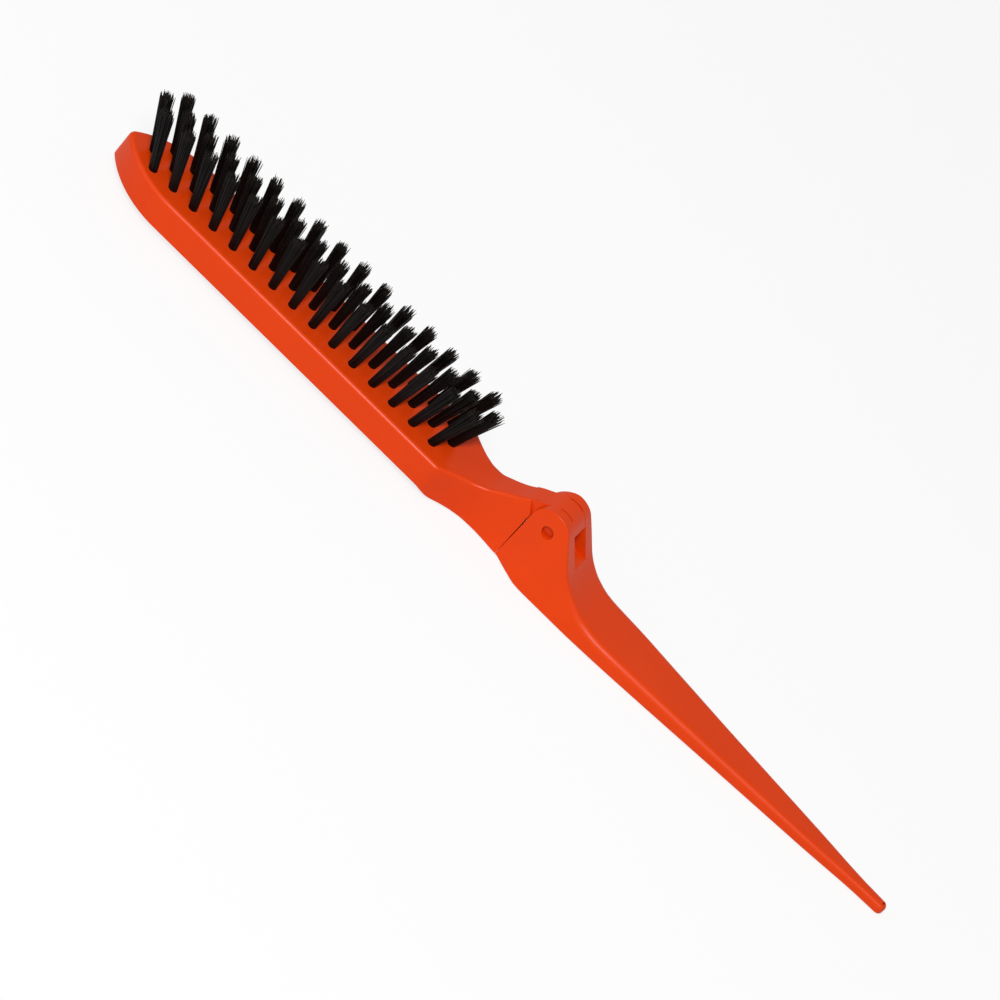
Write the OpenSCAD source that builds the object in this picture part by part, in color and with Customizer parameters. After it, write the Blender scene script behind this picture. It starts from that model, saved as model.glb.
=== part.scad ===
// Folding teasing brush with a rat-tail handle.
// +X runs from the head to the tail, +Z is the bristle side, Y is the width.
// The shapes are drawn about the hinge pin, then set down with the underside
// of the handle at Z = 0 and the length centred on X = 0.

/* [Head] */
// Length of the bristle plate, from its tip to the shoulder
head_len = 98; // [80:0.5:120]
// Width of the bristle plate
head_w = 19.2; // [17:0.1:24]
// Thickness of the bristle plate
head_t = 7.6; // [6.5:0.1:10]
// Length over which the plate narrows to its tip
nose_len = 18; // [14:0.5:24]
// Radius of the rounded tip
tip_r = 2; // [1:0.1:3]
// Depth of the bristle face below the pin axis
face_drop = 5.3; // [5.2:0.1:7]

/* [Neck] */
// Length of the neck, from the shoulder to the seam at the hinge
neck_len = 21.4; // [18:0.2:28]
// Width of the neck at its narrowest
neck_w = 5.8; // [5.6:0.1:7]
// Height that the top of the neck reaches above the pin axis
neck_rise = 1.6; // [1:0.1:2.4]

/* [Hinge] */
// Diameter of the hinge pin
pin_d = 2.9; // [2:0.05:3.6]
// Radial clearance of the pin in its bores
pin_clear = 0.05; // [0.02:0.01:0.1]
// Depth of the pin's ends below the faces of the knuckle
pin_recess = 0.8; // [0.4:0.1:1.2]
// Diameter of the knuckle, seen from the side
knuckle_d = 10.2; // [9:0.1:12]
// Width of the knuckle at the pin
knuckle_w = 10.8; // [10:0.1:13]
// Width of the tongue between the two ears
tongue_w = 5.5; // [4.5:0.1:6.6]
// Clearance between the tongue and its slot, and between the stop faces
hinge_gap = 0.1; // [0.06:0.01:0.2]
// Height of the pin axis above the underside of the handle
pin_height = 15; // [13.5:0.1:18]
// Angle of the sloping back of the knuckle, from the horizontal
back_slope = 53; // [48:1:60]
// Largest fold of the handle, where the sloping faces meet
fold_angle = 180; // [176:1:180]

/* [Handle] */
// Length of the handle, from the seam to the tail
handle_len = 113.7; // [95:0.1:140]
// Width of the handle at its widest
handle_w = 16.2; // [15:0.1:19]
// Thickness of the handle behind the knuckle
grip_t = 4.2; // [3.6:0.1:5.2]
// Width of the tail end
tail_w = 2.9; // [2:0.1:4]
// Thickness of the tail end
tail_t = 2.5; // [1.8:0.1:3.4]

/* [Bristles] */
// Number of tufts in the middle row; each outer row has one fewer
middle_count = 16; // [10:1:19]
// Distance between neighbouring rows
row_gap = 4.6; // [4.2:0.1:5.4]
// Diameter of a tuft where it leaves the plate
tuft_d = 2.05; // [1.6:0.05:2.4]
// Diameter of a tuft at its frayed end
tuft_end_d = 3.2; // [2.4:0.1:3.4]
// Length of a tuft above the plate
tuft_len = 14.6; // [10:0.1:14.8]
// Depth of the bores that hold the tufts
bore_depth = 5; // [3.5:0.1:5.2]
// Radial clearance of a tuft in its bore
tuft_clear = 0.05; // [0.02:0.01:0.1]
// Lean of the first tuft, towards the tip
lean_tip = 22; // [0:1:24]
// Lean of the last tuft, towards the hinge
lean_hinge = 14; // [0:1:16]
// Distance from the tip of the plate to the first tuft of the middle row
first_tuft = 6.4; // [5.5:0.1:9]
// Distance from the last tuft of the middle row to the shoulder
last_tuft = 1.6; // [1.4:0.1:5]

/* [Anchors] */
// Thickness of the flat anchor wire
anchor_t = 0.3; // [0.2:0.05:0.5]
// Height of the flat anchor wire
anchor_h = 1.4; // [1:0.1:1.8]
// How far each end of an anchor bites into the wall of its bore
anchor_bite = 0.35; // [0.2:0.05:0.5]

/* [Hidden] */
$fn = 64;
orange = [0.88, 0.22, 0.05];
black = [0.09, 0.07, 0.06];
metal = [0.72, 0.66, 0.5];

// Pin-centred stations along X
seam_x = -knuckle_d / 2 - hinge_gap;
shoulder_x = seam_x - neck_len;
tip_x = shoulder_x - head_len;
front_x = -knuckle_d / 2;
tail_x = front_x + handle_len;

// Pin-centred heights
face_z = -face_drop;
back_z = face_z - head_t;
under_z = -pin_height;
grip_z = under_z + grip_t;
tail_z = under_z + tail_t;

// Hinge
pin_r = pin_d / 2;
bore_r = pin_r + pin_clear;
knuckle_r = knuckle_d / 2;
barrel_r = knuckle_r - 2 * hinge_gap;
slot_w = tongue_w + 2 * hinge_gap;
slot_r = barrel_r + 1.5 * hinge_gap;
slot_floor = -barrel_r + 0.5;
web_floor = slot_floor + 0.8;
slope_dir = 90 - back_slope;      // direction of the sloping face's normal
slope_far = knuckle_r - 0.2;      // its distance from the pin axis
pin_len = knuckle_w - 2 * pin_recess;

// Tufts
outer_count = middle_count - 1;
pitch = (head_len - first_tuft - last_tuft) / (middle_count - 1);
hole_r = tuft_d / 2 + tuft_clear;
anchor_len = 2 * (hole_r + anchor_bite);
anchor_lift = 0.6;                // floor of the bore to the wire, which the tuft loops under
rows = ["near", "middle", "far"];

// ---- names and places of the tufts ------------------------------------------

function two_digits(n) = n < 10 ? str("0", n) : str(n);
function row_count(row) = row == 1 ? middle_count : outer_count;
function tuft_name(row, i) = str("tuft_", rows[row], "_", two_digits(i));
function tuft_x(row, i) =
    tip_x + first_tuft + pitch * (i - 1 + (row == 1 ? 0 : 0.5));
function tuft_y(row) = row_gap * (row - 1);

// The lean changes evenly from the tip end to the hinge end
function tuft_lean(row, i) =
    -lean_tip + (lean_tip + lean_hinge)
    * (tuft_x(row, i) - tuft_x(1, 1)) / (pitch * (middle_count - 1));

// The first tuft leans out past the tip, and the part's own frame has its
// origin halfway between that and the tail
part_start = min(tip_x, tuft_x(1, 1) - tuft_len * sin(lean_tip)
                        - tuft_end_d / 2 * cos(lean_tip));
part_mid_x = (part_start + tail_x) / 2;

// ---- smooth outlines ---------------------------------------------------------

// A curve through a few stations [x, value], level at both ends
function slope_at(s, i) =
    i == 0 || i == len(s) - 1 ? 0
    : let (a = (s[i][1] - s[i - 1][1]) / (s[i][0] - s[i - 1][0]),
           b = (s[i + 1][1] - s[i][1]) / (s[i + 1][0] - s[i][0]))
      a * b <= 0 ? 0 : 2 * a * b / (a + b);

function between(s, i, t) =
    let (w = s[i + 1][0] - s[i][0],
         a = s[i][1], b = s[i + 1][1],
         ma = w * slope_at(s, i), mb = w * slope_at(s, i + 1))
    [s[i][0] + w * t,
     (2 * t * t * t - 3 * t * t + 1) * a + (t * t * t - 2 * t * t + t) * ma
     + (3 * t * t - 2 * t * t * t) * b + (t * t * t - t * t) * mb];

function smooth(s, steps = 5) = concat(
    [for (i = [0:len(s) - 2]) for (k = [0:steps - 1]) between(s, i, k / steps)],
    [s[len(s) - 1]]
);

function reversed(p) = [for (i = [len(p) - 1:-1:0]) p[i]];
function mirrored(p) = [for (q = reversed(p)) if (q[1] > 0.001) [q[0], -q[1]]];

// Points on an arc about c, from angle a to angle b
function arc(c, r, a, b, steps = 12) =
    [for (k = [0:steps]) c + r * [cos(a + (b - a) * k / steps),
                                  sin(a + (b - a) * k / steps)]];

// Half of the nose in plan: a side arc tangent to the plate, then the tip arc
half_w = head_w / 2;
nose_r = (pow(nose_len - tip_r, 2) + pow(half_w, 2) - pow(tip_r, 2))
         / (2 * (half_w - tip_r));
nose_turn = atan2(nose_len - tip_r, nose_r - half_w);
nose_half = concat(
    arc([tip_x + tip_r, 0], tip_r, 180, 90 + nose_turn, 5),
    arc([tip_x + nose_len, half_w - nose_r], nose_r, 90 + nose_turn, 90, 10)
);

// Half-widths from the shoulder to the seam
neck_half = smooth([
    [shoulder_x, half_w],
    [shoulder_x + 2, half_w - 1.8],
    [shoulder_x + 5.6, half_w - 4.2],
    [shoulder_x + 10, half_w - 5.9],
    [seam_x - 5.2, neck_w / 2],
    [seam_x - 2.4, neck_w / 2 + 0.1],
    [seam_x, tongue_w / 2 + 0.9]
]);

// Half-widths of the handle from the seam to the round tail
tail_r = tail_w / 2;
handle_half = concat(
    [[front_x, tongue_w / 2 + 0.9]],
    smooth([
        [front_x + 0.5, tongue_w / 2 + 1.1],
        [0, knuckle_w / 2],
        [knuckle_r, handle_w / 2 - 1.5],
        [knuckle_r * 2, handle_w / 2 - 0.5],
        [knuckle_r * 3.2, handle_w / 2],
        [front_x + handle_len * 0.26, handle_w / 2 - 0.2],
        [front_x + handle_len * 0.6, handle_w / 2 - 3.6],
        [front_x + handle_len * 0.88, tail_r + 0.6],
        [tail_x - tail_r, tail_r]
    ]),
    arc([tail_x - tail_r, 0], tail_r, 75, 0, 5)
);

// ---- building blocks ---------------------------------------------------------

// A plan outline, given as its half with y > 0, as tall as the part
module from_above(half) {
    translate([0, 0, under_z - 1])
        linear_extrude(height = pin_height + knuckle_r + 2)
            polygon(concat(half, mirrored(half)));
}

// A side outline, drawn in X and Z, as wide as given
module from_side(outline, width) {
    translate([0, width / 2, 0])
        rotate([90, 0, 0])
            linear_extrude(height = width)
                polygon(outline);
}

module along_pin(r, length) {
    rotate([90, 0, 0])
        cylinder(h = length, r = r, center = true);
}

// Puts what is drawn about the pin into the part's own frame
module in_frame() {
    translate([-part_mid_x, 0, pin_height])
        children();
}

// The frame of one tuft: its origin on the bristle face, +Z up the tuft
module at_tuft(row, i) {
    translate([tuft_x(row, i), tuft_y(row), face_z])
        rotate([0, tuft_lean(row, i), 0])
            children();
}

module anchor_wire(grow) {
    translate([0, 0, -bore_depth + anchor_lift + anchor_h / 2])
        cube([anchor_t + 2 * grow, anchor_len + 2 * grow, anchor_h + 2 * grow],
             center = true);
}

// ---- head --------------------------------------------------------------------

// Top of the neck: level with the face, then rising to the hinge
climb = neck_rise - face_z;
neck_top = smooth([
    [shoulder_x + 3, face_z],
    [shoulder_x + 7, face_z + climb * 0.015],
    [shoulder_x + 10.5, face_z + climb * 0.13],
    [seam_x - 8.2, face_z + climb * 0.36],
    [seam_x - 5, face_z + climb * 0.65],
    [seam_x - 2, neck_rise],
    [seam_x + 1, neck_rise + 1.7]
]);

neck_under = smooth([
    [shoulder_x - 1.5, back_z],
    [shoulder_x + 3.5, back_z + (under_z - back_z) * 0.75],
    [shoulder_x + 13, under_z]
]);

module head_body() {
    intersection() {
        from_above(concat(nose_half, neck_half));
        from_side(concat(
            [[tip_x - 1, back_z], [tip_x - 1, face_z]],
            neck_top,
            [[seam_x + 1, under_z]],
            reversed(neck_under)
        ), head_w + 2);
    }
}

// Clears the sloping back of the knuckle when the handle is folded
module fold_seat() {
    rotate([0, -slope_dir - fold_angle, 0])
        translate([-knuckle_d, -head_w, -knuckle_d])
            cube([knuckle_d + slope_far + hinge_gap, head_w * 2, knuckle_d * 2]);
}

// The end of the neck is square below the pin and slopes above it
module seam_cut() {
    fold_seat();
    translate([seam_x, -head_w, under_z - 1])
        cube([knuckle_d * 2, head_w * 2, pin_height + knuckle_d]);
}

// The top of the tongue is a tangent from the end of the neck to the barrel
ramp_start = [seam_x - 2, neck_rise];
ramp_turn = atan2(ramp_start[1], ramp_start[0])
            - acos(barrel_r / norm(ramp_start));
ramp_end = barrel_r * [cos(ramp_turn), sin(ramp_turn)];

module tongue() {
    along_pin(barrel_r, tongue_w);
    from_side([
        [seam_x - 3.2, web_floor],
        [seam_x - 3.2, neck_rise - 0.9],
        ramp_start,
        ramp_end,
        [0, 0],
        [0, web_floor]
    ], tongue_w);
}

module head() {
    color(orange) in_frame() difference() {
        union() {
            difference() {
                head_body();
                seam_cut();
            }
            tongue();
        }
        along_pin(bore_r, tongue_w + 1);
        for (row = [0:2]) for (i = [1:row_count(row)]) at_tuft(row, i) {
            translate([0, 0, -bore_depth])
                cylinder(h = bore_depth + 3, r = hole_r);
            anchor_wire(tuft_clear);
        }
    }
}

// ---- handle ------------------------------------------------------------------

slope_foot_z = slot_floor + 0.5;
slope_foot_x = (slope_far - slope_foot_z * sin(slope_dir)) / cos(slope_dir);
slope_head = asin(slope_far / knuckle_r);

handle_top = smooth([
    [slope_foot_x + 1, slope_foot_z - 0.3],
    [slope_foot_x + 1.9, slope_foot_z - 1.8],
    [slope_foot_x + 5.2, grip_z + 2.2],
    [slope_foot_x + 9.5, grip_z + 0.6],
    [slope_foot_x + 15, grip_z],
    [front_x + handle_len * 0.6, grip_z - (grip_z - tail_z) * 0.56],
    [tail_x + 1, tail_z]
]);

module handle() {
    color(orange) in_frame() difference() {
        intersection() {
            from_above(handle_half);
            from_side(concat(
                [[front_x, under_z]],
                arc([0, 0], knuckle_r, 180, slope_dir + 90 - slope_head, 24),
                [[slope_foot_x, slope_foot_z]],
                handle_top,
                [[tail_x + 1, under_z]]
            ), handle_w + 2);
        }
        // slot for the tongue, open to the front, the top and the back
        along_pin(slot_r, slot_w);
        translate([front_x - 1, -slot_w / 2, slot_floor])
            cube([slope_foot_x - front_x + 3, slot_w, knuckle_d * 2]);
        along_pin(bore_r, handle_w);
    }
}

module hinge_pin() {
    color(orange) in_frame() along_pin(pin_r, pin_len);
}

// ---- bristles ----------------------------------------------------------------

module tuft(row, i) {
    color(black) in_frame() at_tuft(row, i) difference() {
        union() {
            translate([0, 0, -bore_depth + tuft_clear])
                cylinder(h = bore_depth, r = tuft_d / 2, $fn = 24);
            cylinder(h = tuft_len, r1 = tuft_d / 2, r2 = tuft_end_d / 2, $fn = 24);
        }
        anchor_wire(tuft_clear);
    }
}

module anchors(row) {
    color(metal) in_frame()
        for (i = [1:row_count(row)])
            at_tuft(row, i) anchor_wire(0);
}

// ---- nodes -------------------------------------------------------------------

head();
handle();
hinge_pin();
anchors(0);  // anchors_near
anchors(1);  // anchors_middle
anchors(2);  // anchors_far
for (row = [0:2]) for (i = [1:row_count(row)])
    tuft(row, i);
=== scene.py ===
"""A folding teasing brush with a rat-tail handle: its mouldings, pin, bristle tufts and set.

Shapes are drawn in millimetres about the hinge pin, +X towards the tail, +Z the way the
bristles stand, and set down in metres in the part's own frame when they are finished.
"""

import logging
import math
from contextlib import contextmanager
from dataclasses import dataclass, field
from enum import Enum
from functools import partial
from typing import Callable, Iterable, Iterator, Sequence

import bmesh
import bpy
import numpy as np
from mathutils import Matrix, Vector


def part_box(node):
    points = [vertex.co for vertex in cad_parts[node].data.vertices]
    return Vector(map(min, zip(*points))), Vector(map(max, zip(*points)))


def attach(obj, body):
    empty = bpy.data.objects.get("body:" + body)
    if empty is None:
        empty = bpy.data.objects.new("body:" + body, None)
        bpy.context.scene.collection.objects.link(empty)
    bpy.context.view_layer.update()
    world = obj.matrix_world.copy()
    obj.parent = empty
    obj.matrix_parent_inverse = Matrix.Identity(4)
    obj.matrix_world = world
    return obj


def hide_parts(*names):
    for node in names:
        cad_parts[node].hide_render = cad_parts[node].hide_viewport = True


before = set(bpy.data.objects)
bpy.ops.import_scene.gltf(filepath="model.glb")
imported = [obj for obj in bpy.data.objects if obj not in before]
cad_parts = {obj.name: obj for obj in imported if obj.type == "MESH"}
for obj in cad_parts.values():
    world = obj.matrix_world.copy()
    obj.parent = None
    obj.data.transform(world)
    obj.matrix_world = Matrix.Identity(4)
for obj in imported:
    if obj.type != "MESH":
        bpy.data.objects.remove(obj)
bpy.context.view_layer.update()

MM = 0.001
GOLDEN_TURN = math.pi * (3 - math.sqrt(5))
OVERCUT = 1.0  # mm by which a drawn outline or a cutter reaches past what it shapes
CROWDED = 0.3  # mm, the least distance between two places along a curve
LOG = logging.getLogger("teasing_brush")

Point2 = tuple[float, float]
Span = tuple[float, float]
Inputs = dict[str | int, object]
Piece = bpy.types.Object


class Cut(Enum):
    """The Boolean operations, by the name of what they do to the piece."""

    KEEP_COMMON = "INTERSECT"
    TAKE_AWAY = "DIFFERENCE"
    JOIN = "UNION"


class Row(Enum):
    """The three rows of tufts."""

    NEAR = "near"
    MIDDLE = "middle"
    FAR = "far"


# ---- measuring the frame ----


def in_mm(node: str) -> tuple[Vector, Vector]:
    """Measures a CAD node about the hinge pin.

    Args:
        node: The node's name.

    Returns:
        Its lowest and highest corner in millimetres from the pin's centre.
    """
    low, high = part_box(node)
    return (low - PIN) / MM, (high - PIN) / MM


PIN = sum(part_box("hinge_pin"), Vector()) / 2


# ---- outlines ----


@dataclass(frozen=True)
class Curve:
    """A curve through a few stations that never overshoots and leaves the last one level."""

    stations: tuple[Point2, ...]
    enter: float = 0.0  # the slope at the first station

    def slope(self, i: int) -> float:
        """Returns the slope at station i."""
        if i == 0:
            return self.enter
        if i == len(self.stations) - 1:
            return 0.0
        (xa, ya), (xb, yb), (xc, yc) = self.stations[i - 1 : i + 2]
        before, after = (yb - ya) / (xb - xa), (yc - yb) / (xc - xb)
        return 0.0 if before * after <= 0 else 2 * before * after / (before + after)

    def at(self, x: float) -> float:
        """Returns the curve's value at x, held level beyond both ends."""
        first, last = self.stations[0], self.stations[-1]
        if x <= first[0]:
            return first[1]
        if x >= last[0]:
            return last[1]
        i = max(k for k, station in enumerate(self.stations) if station[0] <= x)
        (xa, ya), (xb, yb) = self.stations[i : i + 2]
        width = xb - xa
        t = (x - xa) / width
        value = (2 * t**3 - 3 * t**2 + 1) * ya + (t**3 - 2 * t**2 + t) * width * self.slope(i)
        return value + (3 * t**2 - 2 * t**3) * yb + (t**3 - t**2) * width * self.slope(i + 1)


def shared_places(low: float, high: float, curves: Sequence[Curve], steps: int) -> list[float]:
    """Finds places at which several curves are drawn together, so that their edges meet.

    Args:
        low: The first place.
        high: The last place.
        curves: The curves.
        steps: Places from one station of a curve to the next.

    Returns:
        The places in order, none of them crowded against the one before it.
    """
    places = {low, high}
    for curve in curves:
        for (xa, _), (xb, _) in zip(curve.stations, curve.stations[1:]):
            places |= {xa + (xb - xa) * k / steps for k in range(steps)}
    kept = [low]
    for x in sorted(places):
        if kept[-1] + CROWDED < x < high - CROWDED:
            kept.append(x)
    return kept + [high]


@dataclass(frozen=True)
class Walls:
    """Side walls that lean: half the width along a high level and along the underside."""

    high: Curve
    low: Curve
    high_z: float
    low_z: float

    def at(self, x: float, z: float) -> float:
        """Returns half the width at x and z."""
        t = min(max((self.high_z - z) / (self.high_z - self.low_z), 0), 1)
        return self.high.at(x) * (1 - t) + self.low.at(x) * t

    def lean(self, piece: Piece, start: float, stop: float) -> None:
        """Leans the upright walls of a piece that was drawn to the width at the underside.

        Args:
            piece: The piece.
            start: The first place where the walls lean.
            stop: The last one.
        """
        for vertex in piece.data.vertices:
            x, y, z = vertex.co
            if start < x < stop:
                vertex.co.y = y * self.at(x, z) / self.low.at(x)


def risen(x: float, span: Span) -> float:
    """Returns how far x has come, 0 to 1, along a span given by its start and its length."""
    return min(max((x - span[0]) / span[1], 0), 1)


def arc(centre: Point2, radius: float, start: float, stop: float, steps: int) -> list[Point2]:
    """Draws an arc.

    Args:
        centre: The arc's centre.
        radius: Its radius.
        start: The angle of its first point, in degrees.
        stop: The angle of its last point, in degrees.
        steps: The number of chords.

    Returns:
        The arc's points.
    """
    angles = [math.radians(start + (stop - start) * k / steps) for k in range(steps + 1)]
    return [(centre[0] + radius * math.cos(a), centre[1] + radius * math.sin(a)) for a in angles]


def closed(half: Sequence[Point2]) -> list[Point2]:
    """Mirrors half a plan outline, given with y > 0, and returns the whole outline."""
    return list(half) + [(x, -y) for x, y in reversed(half) if y > 1e-3]


def clean(outline: Sequence[Point2], nearest: float = 0.02) -> list[Point2]:
    """Leaves out each point that lies on the one before it.

    Args:
        outline: The points.
        nearest: How near two points may be, in millimetres.

    Returns:
        The points that are left.
    """
    kept: list[Point2] = []
    for point in outline:
        if not kept or math.dist(point, kept[-1]) > nearest:
            kept.append(point)
    return kept[:-1] if math.dist(kept[0], kept[-1]) <= nearest else kept


# ---- modelling by hand ----


def only(*pieces: Piece) -> None:
    """Selects these pieces alone, the first one active."""
    bpy.ops.object.select_all(action="DESELECT")
    for piece in pieces:
        piece.select_set(True)
    bpy.context.view_layer.objects.active = pieces[0]


@contextmanager
def editing(piece: Piece) -> Iterator[None]:
    """Opens a piece in Edit Mode with everything selected, and closes it again after."""
    only(piece)
    bpy.ops.object.mode_set(mode="EDIT")
    bpy.ops.mesh.select_all(action="SELECT")
    yield
    bpy.ops.object.mode_set(mode="OBJECT")


def apply_modifier(piece: Piece, kind: str, **settings: object) -> None:
    """Adds a modifier to a piece and applies it.

    Args:
        piece: The piece.
        kind: The modifier's type.
        **settings: The modifier's own properties.
    """
    modifier = piece.modifiers.new(kind.lower(), kind)
    for key, value in settings.items():
        setattr(modifier, key, value)
    only(piece)
    bpy.ops.object.modifier_apply(modifier=modifier.name)


def new_primitive(operator: Callable, name: str, **settings: object) -> Piece:
    """Adds a primitive and names it.

    Args:
        operator: The operator that adds it.
        name: The new object's name.
        **settings: What the operator is given.

    Returns:
        The new object, alone selected.
    """
    bpy.ops.object.select_all(action="DESELECT")
    operator(**settings)
    piece = bpy.context.active_object
    piece.name = piece.data.name = name
    return piece


def traced(name: str, outline: Sequence[Vector], depth: Vector) -> Piece:
    """Traces a flat outline vertex by vertex, fills it and pulls it out into a solid.

    Args:
        name: The new object's name.
        outline: The corners, in order.
        depth: How far, and which way, the filled outline is pulled out.

    Returns:
        The closed solid.
    """
    piece = new_primitive(bpy.ops.mesh.primitive_plane_add, name, size=1)
    with editing(piece):
        bpy.ops.mesh.merge(type="CENTER")
        bpy.ops.transform.translate(value=outline[0])
        for before, after in zip(outline, outline[1:]):
            bpy.ops.mesh.extrude_vertices_move(TRANSFORM_OT_translate={"value": after - before})
        bpy.ops.mesh.select_all(action="DESELECT")
        mesh = bmesh.from_edit_mesh(piece.data)
        for vertex in mesh.verts:
            vertex.select = len(vertex.link_edges) == 1
        mesh.select_flush_mode()
        bmesh.update_edit_mesh(piece.data)
        bpy.ops.mesh.edge_face_add()
        bpy.ops.mesh.select_all(action="SELECT")
        bpy.ops.mesh.edge_face_add()
        bpy.ops.mesh.extrude_region_move(TRANSFORM_OT_translate={"value": depth})
        bpy.ops.mesh.select_all(action="SELECT")
        bpy.ops.mesh.normals_make_consistent(inside=False)
    return piece


def through(name: str, outline: Sequence[Point2], half_w: float) -> Piece:
    """Traces a side view and pulls it out across the brush.

    Args:
        name: The new object's name.
        outline: The side view, as x and z.
        half_w: How far it reaches to each side of the middle.

    Returns:
        The closed solid.
    """
    corners = [Vector((x, half_w, z)) for x, z in clean(outline)]
    return traced(name, corners, Vector((0, -2 * half_w, 0)))


def rod(name: str, radius: float, start: Vector, stop: Vector, sides: int = 48) -> Piece:
    """Adds a round rod from one point to another.

    Args:
        name: The new object's name.
        radius: Its radius.
        start: The centre of one end.
        stop: The centre of the other end.
        sides: The number of its sides.

    Returns:
        The rod.
    """
    along = stop - start
    turn = along.to_track_quat("Z", "Y").to_euler()
    piece = new_primitive(
        bpy.ops.mesh.primitive_cylinder_add, name, vertices=sides, radius=radius,
        depth=along.length, location=(start + stop) / 2, rotation=turn,
    )
    bpy.ops.object.transform_apply(location=True, rotation=True, scale=True)
    return piece


def combine(piece: Piece, other: Piece, cut: Cut) -> Piece:
    """Applies a Boolean to a piece and removes the other one.

    Args:
        piece: The piece that stays.
        other: The piece that is used up.
        cut: What is done.

    Returns:
        The piece.
    """
    apply_modifier(piece, "BOOLEAN", operation=cut.value, solver="EXACT", object=other)
    bpy.data.objects.remove(other)
    tidy_mesh(piece)
    return piece


def carved(
    name: str, half_plan: Sequence[Point2], side: Sequence[Point2], low: Vector, high: Vector
) -> Piece:
    """Carves a solid that has the given plan from above and the given side view.

    Args:
        name: The new object's name.
        half_plan: Half the plan, as x and y > 0.
        side: The side view, as x and z.
        low: The lowest corner of the solid's box.
        high: The highest corner.

    Returns:
        The closed solid.
    """
    plan = [Vector((x, y, low.z - OVERCUT)) for x, y in clean(closed(clean(half_plan)))]
    piece = traced(name, plan, Vector((0, 0, high.z - low.z + 2 * OVERCUT)))
    return combine(piece, through("side", side, high.y + OVERCUT), Cut.KEEP_COMMON)


def tidy_mesh(piece: Piece, nearest: float = 2e-4) -> None:
    """Merges the vertices of a piece that lie within a hair of each other."""
    with editing(piece):
        bpy.ops.mesh.remove_doubles(threshold=nearest)
        bpy.ops.mesh.dissolve_degenerate(threshold=nearest)


def slice_off(piece: Piece, point: Vector, normal: Vector) -> None:
    """Cuts a piece with a plane, drops what lies ahead of the normal and closes the cut.

    Args:
        piece: The piece.
        point: A point on the plane.
        normal: The plane's normal, towards what is dropped.
    """
    with editing(piece):
        bpy.ops.mesh.bisect(
            plane_co=point, plane_no=normal, use_fill=True, clear_outer=True, threshold=1e-4
        )


def round_ridges(
    piece: Piece, radius_at: Callable[[Vector], float], widest: float, segments: int = 5
) -> None:
    """Rounds the ridges where the side walls meet the top and the underside.

    A side wall stands nearly upright and a top or an underside runs straight across, so a
    ridge is an edge between one of each.

    Args:
        piece: The piece.
        radius_at: Gives the size of the rounding at a point, in millimetres.
        widest: The largest size that radius_at gives.
        segments: The facets across the rounding.
    """
    leaning, upright_z, level_z, sideways, straight = 0.4, 0.2, 0.999, 0.02, 1e-3
    mesh = bmesh.new()
    mesh.from_mesh(piece.data)
    mesh.normal_update()
    weight = mesh.edges.layers.float.new("bevel_weight_edge")
    for edge in mesh.edges:
        if len(edge.link_faces) != 2:
            continue
        normals = [face.normal for face in edge.link_faces]
        walls = [abs(n.z) < leaning and abs(n.y) > sideways for n in normals]
        across = [abs(n.y) < straight for n in normals]
        level = [abs(n.z) > level_z for n in normals]
        upright = [abs(n.z) < upright_z for n in normals]
        pairs = ((walls, across), (level, upright))
        if any((a[0] and b[1]) or (a[1] and b[0]) for a, b in pairs):
            middle = (edge.verts[0].co + edge.verts[1].co) / 2
            edge[weight] = radius_at(middle) / widest
    mesh.to_mesh(piece.data)
    mesh.free()
    apply_modifier(
        piece, "BEVEL", limit_method="WEIGHT", width=widest, segments=segments,
        use_clamp_overlap=False, loop_slide=True,
    )
    tidy_mesh(piece, 1e-3)


def finish_surface(piece: Piece, sharp: float) -> None:
    """Sets a piece down in the part's frame, in metres, and smooths its shading.

    Args:
        piece: The piece, in millimetres about the pin.
        sharp: The angle in degrees from which an edge stays sharp.
    """
    only(piece)
    piece.scale = (MM, MM, MM)
    piece.location = PIN
    bpy.ops.object.transform_apply(location=True, rotation=True, scale=True)
    with editing(piece):
        bpy.ops.mesh.normals_make_consistent(inside=False)
    bpy.ops.object.shade_smooth_by_angle(angle=math.radians(sharp))
    apply_modifier(piece, "WEIGHTED_NORMAL", keep_sharp=True, weight=60)


# ---- colours and nodes ----


def linear(colour: str) -> tuple[float, float, float, float]:
    """Turns a colour written as sRGB hex into linear light with full alpha."""
    parts = [int(colour[i : i + 2], 16) / 255 for i in (1, 3, 5)]
    light = [c / 12.92 if c <= 0.04045 else ((c + 0.055) / 1.055) ** 2.4 for c in parts]
    return (*light, 1.0)


def add_node(
    tree: bpy.types.NodeTree, kind: str, inputs: Inputs, **settings: object
) -> bpy.types.NodeOutputs:
    """Adds a shader node with its settings, values and links.

    Args:
        tree: The node tree.
        kind: The node's type, without the "ShaderNode" that all of them start with.
        inputs: What each input is set to, or the socket that it is linked from.
        **settings: The node's own properties.

    Returns:
        The node's outputs.
    """
    node = tree.nodes.new("ShaderNode" + kind)
    for key, value in settings.items():
        setattr(node, key, value)
    for key, value in inputs.items():
        socket = node.inputs[key]
        if isinstance(value, bpy.types.NodeSocket):
            tree.links.new(value, socket)
        else:
            socket.default_value = value
    return node.outputs


def start_material(name: str) -> tuple[bpy.types.Material, Callable]:
    """Makes an empty material and returns it with add_node for its tree."""
    material = bpy.data.materials.new(name)
    material.use_nodes = True
    material.node_tree.nodes.clear()
    return material, partial(add_node, material.node_tree)


def dress(piece: Piece, material: bpy.types.Material) -> None:
    """Gives a piece one material and nothing else."""
    piece.data.materials.clear()
    piece.data.materials.append(material)


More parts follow.
